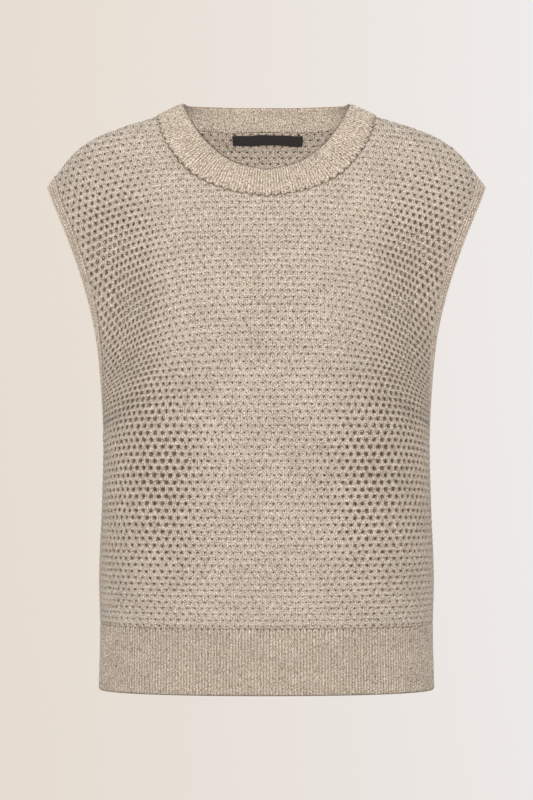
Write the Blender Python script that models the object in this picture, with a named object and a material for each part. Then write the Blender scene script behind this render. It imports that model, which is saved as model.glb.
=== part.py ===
"""Sleeveless crew-neck top in openwork knit, standing open in the shape it has when worn.

Front and back panels hang from two sloping shoulder seams and meet at the side seams. Ribbed bands
finish the neck, the hem and both armholes, and a woven label lies inside the back neck. Each piece
is a thin wall of cloth: neck, hem and armholes are open, and the inside is empty.

Metres. +X is the right-hand side seen from the front, the front faces -Y, and +Z is up. The origin
is on the centre plane, level with the points where the neckband crosses the shoulders.
"""

import bmesh
import bpy
import numpy as np

# Walls of cloth, and the space left between two sewn pieces.
PANEL_WALL = 0.0020
BAND_WALL = 0.0026
LABEL_WALL = 0.0010
SEAM_GAP = 0.0003

# Heights and widths that set the cut.
HEM_Z = -0.600
RIB_SEAM_Z = -0.533
UNDERARM_Z = -0.345
TIP_X = 0.2256
TIP_Z = -0.085
NECK_POINT_X = 0.111

# Half width and depth of the worn form, a row for each level. The depths are those of the centre
# front and centre back, measured from the side seams. A level section is a superellipse of the given
# power: 2 is an ellipse, more is squarer, and less turns in early to a flat side.
LEVELS = {
    "z": (-0.600, -0.533, -0.490, -0.405, -0.345, -0.300, -0.230, -0.170, -0.130, -0.085, -0.040, 0.010),
    "half_width": (
        0.1715, 0.1700, 0.1710, 0.1680, 0.1668, 0.1680, 0.1752, 0.1914, 0.2065, 0.2256, 0.2400, 0.2500
    ),
    "front": (
        0.1080, 0.1095, 0.1115, 0.1130, 0.1145, 0.1155, 0.1150, 0.1060, 0.0930, 0.0740, 0.0570, 0.0420
    ),
    "back": (
        0.1030, 0.1020, 0.1010, 0.0990, 0.0985, 0.1000, 0.1050, 0.1075, 0.1050, 0.0930, 0.0720, 0.0480
    ),
    "power": (2.25, 2.25, 2.25, 2.25, 2.20, 2.00, 1.75, 1.68, 1.68, 1.68, 1.68, 1.68),
}

# The shoulder line, seen from the front. It runs on, unseen, over the neck opening.
SHOULDER = {
    "x": (0.0, 0.050, 0.085, 0.112, 0.151, 0.180, 0.201, 0.214, 0.2256),
    "z": (0.0080, 0.0055, 0.0, -0.0108, -0.0232, -0.0355, -0.0520, -0.0685, -0.0850),
}
SHOULDER_ROUND = 0.060

# The armhole: its band, the round corner at the underarm, and how far each edge stands off the
# side plane halfway up.
ARM_BAND_WIDTH = 0.014
ARM_CORNER = 0.025
ARM_GAPE = 0.042
ARM_GAPE_POWER = 0.6
ARM_SEAM_GAP = 0.0007

# The neckband, a row for each angle from centre front (0) over the shoulder (90) to centre back
# (180): its free edge, its seam, and how far the free edge leans in from the seam.
NECK = {
    "angle": (0, 25, 50, 70, 90, 110, 130, 155, 180),
    "edge_x": (0.0, 0.0310, 0.0545, 0.0700, 0.0846, 0.0785, 0.0625, 0.0330, 0.0),
    "edge_z": (-0.0684, -0.0610, -0.0450, -0.0270, -0.0005, 0.0010, 0.0012, 0.0005, 0.0004),
    "seam_x": (0.0, 0.0410, 0.0800, 0.1025, NECK_POINT_X, 0.1010, 0.0790, 0.0410, 0.0),
    "seam_z": (-0.0966, -0.0895, -0.0690, -0.0390, -0.0104, -0.0150, -0.0210, -0.0246, -0.0235),
    "lean": (0.0190, 0.0170, 0.0120, 0.0070, 0.0, 0.0060, 0.0120, 0.0180, 0.0200),
}
NECK_CROWN = 0.0012
NECK_SHARES = (0.0, 1 / 3, 2 / 3, 1.0)
NECK_SEAM_GAP = 0.0010

# Soft troughs under the arms, where the spare width of the panels falls in: a row for each.
TROUGHS = {
    "side": (-1, -1, 1, 1),
    "x": (-0.145, 0.148, -0.140, 0.150),
    "z": (-0.325, -0.335, -0.350, -0.320),
    "half_length": (0.060, 0.070, 0.065, 0.055),
    "half_width": (0.020, 0.018, 0.020, 0.022),
    "depth": (0.0040, 0.0055, 0.0045, 0.0040),
}

LABEL_LEFT_X = -0.0355
LABEL_RIGHT_X = 0.0380
LABEL_HEIGHT = 0.0103
LABEL_GAP = 0.0004

# How finely the cloth is divided.
PANEL_NECK_STEPS = 8
PANEL_SHOULDER_STEPS = 9
RISE_STEPS_BELOW_ARM = 8
TOP_CROWDING = 1.5
RIB_STEPS = 28
ARM_CORNER_STEPS = 4
ARM_SIDE_STEPS = 13
LABEL_STEPS = 8
ROW_SAMPLES = 161

# Every piece's outer face looks away from a point on the centre line, this far below the piece.
HEART_BELOW = 0.2

FRONT, BACK = -1, 1

# name, colour, roughness
BEIGE_MARL = ("beige marl yarn", (0.51, 0.42, 0.32), 0.9)
BEIGE_RIB = ("beige marl ribbing", (0.54, 0.45, 0.35), 0.9)
BLACK_WOVEN = ("black woven tape", (0.012, 0.012, 0.013), 0.6)


def smooth(at, knots, values):
    """The smooth curve through the knots, read at these places."""
    knots, values = np.asarray(knots, float), np.asarray(values, float)
    slopes = np.gradient(values, knots)
    at = np.clip(at, knots[0], knots[-1])
    i = np.clip(np.searchsorted(knots, at) - 1, 0, len(knots) - 2)
    step = knots[i + 1] - knots[i]
    t = (at - knots[i]) / step
    start = values[i] * (1 + 2 * t) + slopes[i] * step * t
    end = values[i + 1] * (3 - 2 * t) - slopes[i + 1] * step * (1 - t)
    return start * (1 - t) ** 2 + end * t**2


def level(name, z):
    return smooth(z, LEVELS["z"], LEVELS[name])


def shoulder_z(x):
    return smooth(np.abs(x), SHOULDER["x"], SHOULDER["z"])


def arm_gape(z):
    """How far the armhole's edge stands off the side plane at this height."""
    rise = (z - UNDERARM_Z - ARM_BAND_WIDTH) / (TIP_Z - UNDERARM_Z - ARM_BAND_WIDTH)
    rise = np.clip(rise, 0.0, 1.0)
    return ARM_GAPE * (4 * rise * (1 - rise)) ** ARM_GAPE_POWER


def trough(side, x, z):
    """How far the cloth falls in at this place, from all the troughs on that side."""
    fall = np.zeros(np.broadcast(x, z).shape)
    for row_side, row_x, row_z, length, width, depth in zip(*TROUGHS.values()):
        if row_side == side:
            fall += depth * np.exp(-(((x - row_x) / width) ** 2) - ((z - row_z) / length) ** 2)
    return fall


def form(side, across, rise):
    """The worn form: across is -1 to 1 from edge to edge, rise is 0 at the rib seam, 1 at the shoulder.

    A rise below 0 goes down into the hem rib, which keeps level."""
    across, rise = np.broadcast_arrays(np.asarray(across, float), np.asarray(rise, float))
    top_z = np.where(rise > 0, shoulder_z(TIP_X * across), TIP_Z)
    z = RIB_SEAM_Z + (top_z - RIB_SEAM_Z) * rise
    edge_z = edge_height(rise)
    x = level("half_width", edge_z) * across
    power = level("power", edge_z)
    turn = np.maximum(1 - np.abs(across) ** power, 0) ** (1 / power)
    edge = arm_gape(edge_z)
    centre = level("front" if side == FRONT else "back", z)
    depth = edge + (centre - edge) * turn - trough(side, x, z) * turn
    below = np.clip((shoulder_z(x) - z) / SHOULDER_ROUND, 0, 1)
    depth = depth * np.sqrt(1 - (1 - below) ** 2)
    return np.stack([x, side * (SEAM_GAP / 2 + depth), z], axis=-1)


def row_shares(side, rise):
    """Places across each row, the share of the row's length run by there, and half that length."""
    across = np.sin(np.linspace(-np.pi / 2, np.pi / 2, ROW_SAMPLES))
    rows = form(side, across[None, :], np.reshape(rise, (-1, 1)))
    run = np.cumsum(np.linalg.norm(np.diff(rows, axis=1), axis=2), axis=1)
    run = np.concatenate([np.zeros((len(run), 1)), run], axis=1)
    return across, 2 * run / run[:, -1:] - 1, run[:, -1] / 2


def on_row(side, along, rise):
    """Points at this share of their row's own length, from -1 at one edge to 1 at the other."""
    along, rise = np.broadcast_arrays(np.asarray(along, float), np.asarray(rise, float))
    samples, shares, _ = row_shares(side, rise)
    across = [np.interp(a, share, samples) for a, share in zip(along.ravel(), shares)]
    return form(side, np.reshape(across, along.shape), rise)


def edge_height(rise):
    """The height of the form's edge at this rise."""
    return RIB_SEAM_Z + (TIP_Z - RIB_SEAM_Z) * rise


def rise_at(edge_z):
    return (edge_z - RIB_SEAM_Z) / (TIP_Z - RIB_SEAM_Z)


def arm_rises():
    """The rises that both the panels' edges and the armhole bands have points at, underarm first."""
    corner = rise_at(UNDERARM_Z + ARM_CORNER)
    turn = np.linspace(0, np.pi / 2, ARM_CORNER_STEPS + 1)
    curve = rise_at(UNDERARM_Z) + (corner - rise_at(UNDERARM_Z)) * (1 - np.cos(turn))
    crowded = 1 - (1 - np.linspace(0, 1, ARM_SIDE_STEPS + 1)) ** TOP_CROWDING
    return np.concatenate([curve, corner + (1 - corner) * crowded[1:]])


def step_off(seam, edge, gap):
    """The seam's points, moved this far towards the free edge."""
    width = np.linalg.norm(edge - seam, axis=1, keepdims=True)
    return seam + (edge - seam) / width * gap


def arm_seam_inset(edge_z):
    """How far inside the armhole's free edge its seam runs, at the height of that edge."""
    climb = np.clip((edge_z - UNDERARM_Z) / ARM_CORNER, 0, 1)
    return ARM_BAND_WIDTH * np.sqrt(1 - (1 - climb) ** 2)


def panel_edge(side, rise):
    """The share of a row that belongs to the panel: all of it up to the underarm, then less."""
    return 1 - arm_seam_inset(edge_height(rise)) / row_shares(side, rise)[2].reshape(np.shape(rise))


def neck(name, angle):
    return smooth(angle, NECK["angle"], NECK[name])


def locate(x, z):
    """The across and rise of the form's point at this x and z, as seen from the front."""
    x, z = np.asarray(x, float), np.asarray(z, float)
    rise = np.full(x.shape, 0.9)
    for _ in range(40):
        across = np.clip(x / level("half_width", edge_height(rise)), -1, 1)
        rise = (z - RIB_SEAM_Z) / (shoulder_z(TIP_X * across) - RIB_SEAM_Z)
    return across, np.minimum(rise, 1.0)


def neck_angles(side):
    """Angles along this panel's half neck seam, centre first, shoulder last."""
    return np.linspace(0 if side == FRONT else 180, 90, PANEL_NECK_STEPS + 1)


def panel_columns(side):
    """Where the panel's columns stand along its rows, and the rise at which each one ends.

    Those in the middle end at points of the neck seam, the rest at the shoulder."""
    angle = neck_angles(side)
    across, top = locate(neck("seam_x", angle), neck("seam_z", angle))
    samples, shares, _ = row_shares(side, top)
    along = np.array([np.interp(a, samples, share) for a, share in zip(across, shares)])
    inner = along / panel_edge(side, top)
    outer = np.linspace(inner[-1], 1, PANEL_SHOULDER_STEPS + 1)[1:]
    right = np.concatenate([inner, outer])
    top = np.concatenate([top[:-1], np.ones(PANEL_SHOULDER_STEPS + 1)])
    return np.concatenate([-right[:0:-1], right]), np.concatenate([top[:0:-1], top])


def panel_points(side):
    """Rows of points over a panel, from the rib seam up to the neck and shoulder seams."""
    columns, tops = panel_columns(side)
    arm = arm_rises()
    rises = np.concatenate([np.linspace(0, arm[0], RISE_STEPS_BELOW_ARM + 1), arm[1:]])
    rise = rises[:, None] * tops[None, :]
    edge = np.array([panel_edge(side, r) for r in rise])
    return np.array([on_row(side, e * columns, r) for e, r in zip(edge, rise)])


def rib_points(side):
    """Rows of points over one half of the hem rib, bottom row first."""
    columns = np.linspace(-1, 1, RIB_STEPS + 1)
    heights = np.linspace(HEM_Z, RIB_SEAM_Z - SEAM_GAP, 4)
    return np.array([on_row(side, columns, np.full(len(columns), rise_at(z))) for z in heights])


def neck_half(side, top_row):
    """Seam and free edge of one half of the neckband, from its left shoulder to its right."""
    seam = top_row[PANEL_SHOULDER_STEPS:-PANEL_SHOULDER_STEPS]
    angle = neck_angles(side)
    angle = np.concatenate([angle[:0:-1], angle])
    hand = np.sign(seam[:, 0])
    lean = -side * neck("lean", angle)
    edge = np.stack([hand * neck("edge_x", angle), seam[:, 1] + lean, neck("edge_z", angle)], axis=1)
    return step_off(seam, edge, NECK_SEAM_GAP), edge


def neck_points(front_top, back_top):
    """Four rings round the neckband, from its seam, which the panels' top rows set, to its free edge."""
    halves = neck_half(FRONT, front_top), neck_half(BACK, back_top)
    seam, edge = (np.concatenate([front, back[-2:0:-1]]) for front, back in zip(*halves))
    shoulders = [0, 2 * PANEL_NECK_STEPS]
    seam[shoulders, 1] = edge[shoulders, 1] = 0.0
    flat = np.array([seam + (edge - seam) * share for share in NECK_SHARES])
    crown = np.array([NECK_CROWN * 4 * share * (1 - share) for share in NECK_SHARES])
    return flat + outward(flat, closed=True) * crown[:, None, None]


def arm_half(side, hand):
    """Seam and free edge of one half of an armhole band, from the underarm up to the shoulder."""
    rise = arm_rises()
    height = edge_height(rise)
    seam = on_row(side, hand * panel_edge(side, rise), rise)
    corner_z = UNDERARM_Z + ARM_CORNER
    tighten = np.where(height < corner_z, 1 - ARM_BAND_WIDTH / ARM_CORNER, 1.0)
    edge = on_row(side, float(hand), rise_at(corner_z + (height - corner_z) * tighten))
    return step_off(seam, edge, ARM_SEAM_GAP), edge


def arm_points(hand):
    """Three rings round an armhole band, from its seam to its free edge."""
    front_seam, front_edge = arm_half(FRONT, hand)
    back_seam, back_edge = arm_half(BACK, hand)
    rings = []
    for front, back in ((front_seam, back_seam), (front_edge, back_edge)):
        ring = np.concatenate([front, back[-2:0:-1]])
        ring[[0, len(front) - 1], 1] = 0.0
        rings.append(ring)
    return np.array([rings[0], (rings[0] + rings[1]) / 2, rings[1]])


def back_seam_z(x):
    angle = np.linspace(180, 90, 46)
    return np.interp(np.abs(x), neck("seam_x", angle), neck("seam_z", angle))


def label_points():
    """Rows of points for the label, on the inner face of the back panel just under the neck seam."""
    x = np.linspace(LABEL_LEFT_X, LABEL_RIGHT_X, LABEL_STEPS + 1)
    drops = LABEL_GAP + LABEL_WALL + np.linspace(LABEL_HEIGHT, 0.0, 4)
    rows = np.array([form(BACK, *locate(x, back_seam_z(x) - drop)) for drop in drops])
    return rows - outward(rows) * (LABEL_GAP + (PANEL_WALL + LABEL_WALL) / 2)


def outward(rows, closed=False):
    """Unit normals of a grid of points, away from the wearer. On a side or shoulder seam they stay
    in the seam's own plane."""
    padded = np.concatenate([rows[:, -1:], rows, rows[:, :1]], axis=1) if closed else rows
    along = np.gradient(padded, axis=1, edge_order=2)
    along = along[:, 1:-1] if closed else along
    normal = np.cross(along, np.gradient(rows, axis=0, edge_order=2))
    normal[np.abs(rows[..., 1]) < SEAM_GAP, 1] = 0.0
    normal /= np.linalg.norm(normal, axis=2, keepdims=True)
    heart = np.array([0.0, 0.0, rows[..., 2].mean() - HEART_BELOW])
    return normal * np.sign(np.sum(normal * (rows - heart), axis=2)).mean().round()


def cloth(name, rows, wall, finish, collection, closed=False):
    """A wall of cloth through rows of points. A closed piece joins each row's last point to its first."""
    mesh = bmesh.new()
    half = outward(rows, closed) * wall / 2
    outer, inner = [
        [[mesh.verts.new(point) for point in row] for row in skin] for skin in (rows + half, rows - half)
    ]
    count = len(rows[0])
    steps = [(i, (i + 1) % count) for i in range(count if closed else count - 1)]
    for skin in (outer, inner):
        for lower, upper in zip(skin, skin[1:]):
            for i, j in steps:
                mesh.faces.new((lower[i], lower[j], upper[j], upper[i]))
    for row in (0, -1):
        for i, j in steps:
            mesh.faces.new((outer[row][i], outer[row][j], inner[row][j], inner[row][i]))
    for column in () if closed else (0, -1):
        for k in range(len(rows) - 1):
            mesh.faces.new((outer[k][column], outer[k + 1][column], inner[k + 1][column], inner[k][column]))
    bmesh.ops.recalc_face_normals(mesh, faces=mesh.faces)
    data = bpy.data.meshes.new(name)
    mesh.to_mesh(data)
    mesh.free()
    data.shade_smooth()
    data.materials.append(finish)
    piece = bpy.data.objects.new(name, data)
    collection.objects.link(piece)


def finish(name, colour, roughness):
    material = bpy.data.materials.new(name)
    material.use_nodes = True
    shader = material.node_tree.nodes["Principled BSDF"]
    shader.inputs["Base Color"].default_value = (*colour, 1.0)
    shader.inputs["Roughness"].default_value = roughness
    return material


def build():
    for obj in list(bpy.data.objects):
        bpy.data.objects.remove(obj, do_unlink=True)
    top = bpy.data.collections.new("sleeveless_knit_top")
    bpy.context.scene.collection.children.link(top)
    marl, ribbing, tape = finish(*BEIGE_MARL), finish(*BEIGE_RIB), finish(*BLACK_WOVEN)

    front, back = panel_points(FRONT), panel_points(BACK)
    cloth("front_panel", front, PANEL_WALL, marl, top)
    cloth("back_panel", back, PANEL_WALL, marl, top)
    cloth("hem_rib_front", rib_points(FRONT), BAND_WALL, ribbing, top)
    cloth("hem_rib_back", rib_points(BACK), BAND_WALL, ribbing, top)
    cloth("neck_band", neck_points(front[-1], back[-1]), BAND_WALL, ribbing, top, closed=True)
    cloth("armhole_band_left", arm_points(-1), BAND_WALL, ribbing, top, closed=True)
    cloth("armhole_band_right", arm_points(1), BAND_WALL, ribbing, top, closed=True)
    cloth("neck_label", label_points(), LABEL_WALL, tape, top)


build()
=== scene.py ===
"""Sleeveless crew-neck top in openwork knit: every stitch, rib and yarn that shows.

The frame's front and back panels are knitted here as courses of raised cord with a staggered row of
holes between them. Ribbed bands finish the neck, the hem and the armholes, and a bare woven label
lies inside the back neck. One node tree knits them all: it lays a stitch, cell by cell, over a flat
lattice, and wraps the lattice round the worn form. Metres throughout.
"""

from functools import partial

import bmesh
import bpy
import numpy as np
from bpy.props import FloatProperty, IntProperty, PointerProperty, StringProperty
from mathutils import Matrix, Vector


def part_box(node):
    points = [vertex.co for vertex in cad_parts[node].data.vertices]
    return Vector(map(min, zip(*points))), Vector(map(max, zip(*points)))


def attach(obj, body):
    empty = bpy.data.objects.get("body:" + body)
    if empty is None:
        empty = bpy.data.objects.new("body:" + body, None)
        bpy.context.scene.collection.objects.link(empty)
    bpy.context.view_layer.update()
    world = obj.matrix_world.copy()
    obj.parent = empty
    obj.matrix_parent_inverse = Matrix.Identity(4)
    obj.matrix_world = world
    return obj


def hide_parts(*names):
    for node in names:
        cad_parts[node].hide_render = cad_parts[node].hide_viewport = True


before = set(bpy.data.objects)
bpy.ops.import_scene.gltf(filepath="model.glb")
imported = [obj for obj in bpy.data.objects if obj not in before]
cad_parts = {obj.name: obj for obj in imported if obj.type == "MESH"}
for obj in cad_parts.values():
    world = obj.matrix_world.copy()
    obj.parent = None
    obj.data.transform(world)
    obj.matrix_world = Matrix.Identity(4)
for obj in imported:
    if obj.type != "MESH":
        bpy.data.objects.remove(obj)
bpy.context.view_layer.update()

bl_info = {
    "name": "Sleeveless knit top",
    "version": (1, 0, 0),
    "blender": (4, 5, 0),
    "location": "View3D > Sidebar > Knit top",
    "description": "Knits an openwork top over its worn form",
    "category": "Add Mesh",
}

BODY = "root"

# ---- The worn form, as the frame's own pieces have it ----

RIB_SEAM_Z = -0.533
UNDERARM_Z = -0.345
TIP_X = 0.2256
TIP_Z = -0.085
NECK_POINT_X = 0.111
SEAM_GAP = 0.00006
SHOULDER_ROUND = 0.060
ARM_BAND_WIDTH = 0.014
ARM_CORNER = 0.025
ARM_GAPE = 0.042
ARM_GAPE_POWER = 0.6
HEM_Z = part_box("hem_rib_front")[0][2]

# Half width and depth of a level section and the power of its superellipse, a row for each level.
LEVELS = {
    "z": (-0.600, -0.533, -0.490, -0.405, -0.345, -0.300, -0.230, -0.170, -0.130, -0.085, -0.040, 0.010),
    "half_width": (0.1715, 0.17, 0.171, 0.168, 0.1668, 0.168, 0.1752, 0.1914, 0.2065, 0.2256, 0.24, 0.25),
    "front": (0.108, 0.1095, 0.1115, 0.113, 0.1145, 0.1155, 0.115, 0.106, 0.093, 0.074, 0.057, 0.042),
    "back": (0.103, 0.102, 0.101, 0.099, 0.0985, 0.1, 0.105, 0.1075, 0.105, 0.093, 0.072, 0.048),
    "power": (2.25, 2.25, 2.25, 2.25, 2.20, 2.00, 1.75, 1.68, 1.68, 1.68, 1.68, 1.68),
}
SHOULDER = {
    "x": (0.0, 0.050, 0.085, 0.112, 0.151, 0.180, 0.201, 0.214, 0.2256),
    "z": (0.0080, 0.0055, 0.0, -0.0108, -0.0232, -0.0355, -0.0520, -0.0685, -0.0850),
}
# The neckband by angle, from centre front (0) over the shoulder (90) to centre back (180).
NECK = {
    "angle": (0, 25, 50, 70, 90, 110, 130, 155, 180),
    "edge_x": (0.0, 0.0310, 0.0545, 0.0700, 0.0846, 0.0785, 0.0625, 0.0330, 0.0),
    "edge_z": (-0.0684, -0.0610, -0.0450, -0.0270, -0.0005, 0.0010, 0.0012, 0.0005, 0.0004),
    "seam_x": (0.0, 0.0410, 0.0800, 0.1025, NECK_POINT_X, 0.1010, 0.0790, 0.0410, 0.0),
    "seam_z": (-0.0966, -0.0895, -0.0690, -0.0390, -0.0104, -0.0150, -0.0210, -0.0246, -0.0235),
    "lean": (0.0190, 0.0170, 0.0120, 0.0070, 0.0, 0.0060, 0.0120, 0.0180, 0.0200),
}
TROUGHS = {
    "side": (-1, -1, 1, 1),
    "x": (-0.145, 0.148, -0.140, 0.150),
    "z": (-0.325, -0.335, -0.350, -0.320),
    "half_length": (0.060, 0.070, 0.065, 0.055),
    "half_width": (0.020, 0.018, 0.020, 0.022),
    "depth": (0.0040, 0.0055, 0.0045, 0.0040),
}
FRONT, BACK = -1, 1
SIDES = ((FRONT, "front"), (BACK, "back"))
# The neck's spokes, along which the panel is drawn in to its seam, meet at this height.
HUB_Z = {FRONT: 0.03, BACK: 0.06}

# ---- The knitting ----

# How far apart the courses lie, by height above the rib seam at centre front.
COURSES = {
    "height": (0.0, 0.045, 0.075, 0.110, 0.330, 0.350, 0.541),
    "pitch": (0.00585, 0.0061, 0.0067, 0.00715, 0.00715, 0.0060, 0.0059),
}
# How far a course that is this high at the centre has dropped by the side, and how late it does so.
DROOP = {
    "height": (0.0, 0.080, 0.130, 0.187, 0.237, 0.288, 0.338, 0.389, 0.440, 0.541),
    "drop": (0.0, 0.001, 0.004, 0.009, 0.018, 0.042, 0.056, 0.044, 0.032, 0.022),
    "power": (14.0, 14.0, 14.0, 12.0, 7.0, 4.0, 3.5, 3.6, 3.8, 4.0),
}
# What share of a course's stitches lies this side of a share of its length. Low on the top they crowd in
# near the side seams, at the bust under the arms.
CROWDING = {
    "stitches": (0.0, 0.18, 0.32, 0.45, 0.61, 0.80, 1.0),
    "low": (0.0, 0.172, 0.306, 0.448, 0.638, 0.834, 1.0),
    "bust": (0.0, 0.200, 0.355, 0.496, 0.624, 0.760, 1.0),
    "height": (0.0, 0.20, 0.24, 0.30, 0.38, 0.46),
    "at_low": (1.0, 1.0, 0.0, 0.0, 0.0, 0.0),
    "at_bust": (0.0, 0.0, 0.0, 1.0, 1.0, 0.0),
}
# How wide the holes stand open: across from the centre (0) to the side (1), low on the top and at the
# armholes, and up from the rib seam.
OPEN_ACROSS = {
    "across": (0.0, 0.25, 0.40, 0.50, 0.60, 0.70, 0.80, 0.90, 1.0),
    "low": (0.12, 0.18, 0.50, 0.85, 1.0, 1.0, 0.90, 0.80, 0.60),
    "arm": (0.12, 0.12, 0.14, 0.18, 0.40, 0.90, 1.0, 0.95, 0.50),
}
OPEN_UP = {
    "height": (0.0, 0.030, 0.050, 0.100, 0.160, 0.400, 0.445, 0.480, 0.541),
    "share": (0.25, 0.30, 0.50, 0.80, 1.0, 1.0, 0.60, 0.30, 0.20),
}
# Between these heights above the rib seam the low pattern gives way to the one at the armholes.
ARM_HEIGHTS = (0.180, 0.290)
# Holes of the back stand half as wide open, and any hole closes up this near to an edge of its panel.
OPEN_BACK = 0.5
EDGE_CLOSED = 0.006
PANEL_EDGE_RADIUS = 0.0011
# Cloth less than this far inside the outline is flat, so that its two faces meet there.
OUTLINE = 0.0001
# How narrow the notches are that linking leaves along a seam.
LINK_SHARPNESS = 4
# The hem's ribs are counted at this height.
HEM_MIDDLE_Z = -0.57
# The neckband's ribs are this much narrower than the hem's, and it is this many courses wide.
NECK_DRAWN_IN = 0.93
NECK_COURSES = 6
ARM_RIBS = 2

SAMPLES_PER_STITCH = 3
FORM_STEPS = 161
NECK_STEPS = 60
ARM_STEPS = 48


def smooth(at, knots, values):
    """The smooth curve through the knots, read at these places."""
    knots, values = np.asarray(knots, float), np.asarray(values, float)
    slopes = np.gradient(values, knots)
    at = np.clip(at, knots[0], knots[-1])
    i = np.clip(np.searchsorted(knots, at) - 1, 0, len(knots) - 2)
    step = knots[i + 1] - knots[i]
    t = (at - knots[i]) / step
    start = values[i] * (1 + 2 * t) + slopes[i] * step * t
    end = values[i + 1] * (3 - 2 * t) - slopes[i + 1] * step * (1 - t)
    return start * (1 - t) ** 2 + end * t**2


def level(name, z):
    return smooth(z, LEVELS["z"], LEVELS[name])


def shoulder_z(x):
    return smooth(np.abs(x), SHOULDER["x"], SHOULDER["z"])


def neck(name, angle):
    return smooth(angle, NECK["angle"], NECK[name])


def edge_height(rise):
    """The height of the form's edge at this rise."""
    return RIB_SEAM_Z + (TIP_Z - RIB_SEAM_Z) * rise


def rise_at(edge_z):
    return (edge_z - RIB_SEAM_Z) / (TIP_Z - RIB_SEAM_Z)


def arm_gape(z):
    """How far the armhole's edge stands off the side plane at this height."""
    foot = UNDERARM_Z + ARM_BAND_WIDTH
    rise = np.clip((z - foot) / (TIP_Z - foot), 0.0, 1.0)
    return ARM_GAPE * (4 * rise * (1 - rise)) ** ARM_GAPE_POWER


def trough(side, x, z):
    """How far the cloth falls in at this place, from all the troughs on that side."""
    fall = np.zeros(np.broadcast(x, z).shape)
    for row_side, row_x, row_z, length, width, depth in zip(*TROUGHS.values()):
        if row_side == side:
            fall += depth * np.exp(-(((x - row_x) / width) ** 2) - ((z - row_z) / length) ** 2)
    return fall


def form(side, across, rise):
    """The worn form: across is -1 to 1 from edge to edge, rise is 0 at the rib seam to 1 at the shoulder."""
    across, rise = np.broadcast_arrays(np.asarray(across, float), np.asarray(rise, float))
    top_z = np.where(rise > 0, shoulder_z(TIP_X * across), TIP_Z)
    z = RIB_SEAM_Z + (top_z - RIB_SEAM_Z) * rise
    edge_z = edge_height(rise)
    x = level("half_width", edge_z) * across
    power = level("power", edge_z)
    turn = np.maximum(1 - np.abs(across) ** power, 0) ** (1 / power)
    edge = arm_gape(edge_z)
    centre = level("front" if side == FRONT else "back", z)
    depth = edge + (centre - edge) * turn - trough(side, x, z) * turn
    below = np.clip((shoulder_z(x) - z) / SHOULDER_ROUND, 0, 1)
    depth = depth * np.sqrt(1 - (1 - below) ** 2)
    return np.stack([x, side * (SEAM_GAP / 2 + depth), z], axis=-1)


def form_outward(side, across, rise):
    """Unit normals of the form, away from the wearer. On a seam they stay in the seam's own plane."""
    step = 0.002
    along = form(side, np.minimum(across + step, 1), rise) - form(side, np.maximum(across - step, -1), rise)
    up = form(side, across, np.minimum(rise + step, 1)) - form(side, across, rise - step)
    normal = np.cross(along, up) * -side
    normal[np.abs(form(side, across, rise)[..., 1]) < SEAM_GAP, 1] = 0.0
    return normal / np.linalg.norm(normal, axis=-1, keepdims=True)


def row_shares(side, rise):
    """Sample places across each row, the share of the row's length run by there, and half that length."""
    across = np.sin(np.linspace(-np.pi / 2, np.pi / 2, FORM_STEPS))
    rows = form(side, across[None, :], np.reshape(rise, (-1, 1)))
    run = np.cumsum(np.linalg.norm(np.diff(rows, axis=1), axis=2), axis=1)
    run = np.concatenate([np.zeros((len(run), 1)), run], axis=1)
    return across, 2 * run / run[:, -1:] - 1, run[:, -1] / 2


def locate(x, z):
    """The across and rise of the form's point at this x and z, as seen from the front."""
    x, z = np.asarray(x, float), np.asarray(z, float)
    rise = np.full(x.shape, 0.9)
    for _ in range(40):
        across = np.clip(x / level("half_width", edge_height(rise)), -1, 1)
        rise = (z - RIB_SEAM_Z) / (shoulder_z(TIP_X * across) - RIB_SEAM_Z)
    return across, np.minimum(rise, 1.0)


def arm_seam_inset(edge_z):
    """How far inside the armhole's free edge its seam runs, at the height of that edge."""
    climb = np.clip((edge_z - UNDERARM_Z) / ARM_CORNER, 0, 1)
    return ARM_BAND_WIDTH * np.sqrt(1 - (1 - climb) ** 2)


# ---- Surfaces to knit on: a grid of places, its normals, and what the stitches do there ----


def course_count():
    """Heights above the rib seam, and how many courses lie below each."""
    heights = np.linspace(0, COURSES["height"][-1], 600)
    pitch = np.interp(heights, COURSES["height"], COURSES["pitch"])
    rows = np.concatenate([[0], np.cumsum(np.diff(heights) * 2 / (pitch[1:] + pitch[:-1]))])
    return heights, rows


def course_heights(per_course):
    """Heights of the courses at the centre, with this many samples to a course."""
    heights, rows = course_count()
    total = int(rows[-1])
    return np.interp(np.linspace(0, total, total * per_course + 1), rows, heights)


def crowded(even, height):
    """Where evenly counted stitches lie along a course at this height, as a share of its length."""
    counted = np.abs(even)
    shares = {name: np.interp(counted, CROWDING["stitches"], CROWDING[name]) for name in ("low", "bust")}
    lie = counted + sum(
        np.interp(height, CROWDING["height"], CROWDING["at_" + name]) * (share - counted)
        for name, share in shares.items()
    )
    return np.sign(even) * lie


def neck_inset(side, x, z):
    """How far outside the neck seam each place lies, and the nearest place on the seam along its spoke."""
    angle = np.linspace(0 if side == FRONT else 180, 90, 61)
    seam_x, seam_z = neck("seam_x", angle), neck("seam_z", angle)
    hub_z = HUB_Z[side]
    spoke = np.arctan2(np.abs(x), hub_z - z)
    seam_spoke = np.arctan2(seam_x, hub_z - seam_z)
    reach = np.interp(spoke, seam_spoke, np.hypot(seam_x, hub_z - seam_z))
    within = np.hypot(x, hub_z - z) < reach
    spoke = np.minimum(spoke, seam_spoke[-1])
    gaps = np.hypot(np.abs(x)[..., None] - seam_x, z[..., None] - seam_z).min(axis=-1)
    on_seam = np.sign(x) * reach * np.sin(spoke), hub_z - reach * np.cos(spoke)
    return np.where(within, -gaps, gaps), within, on_seam


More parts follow.
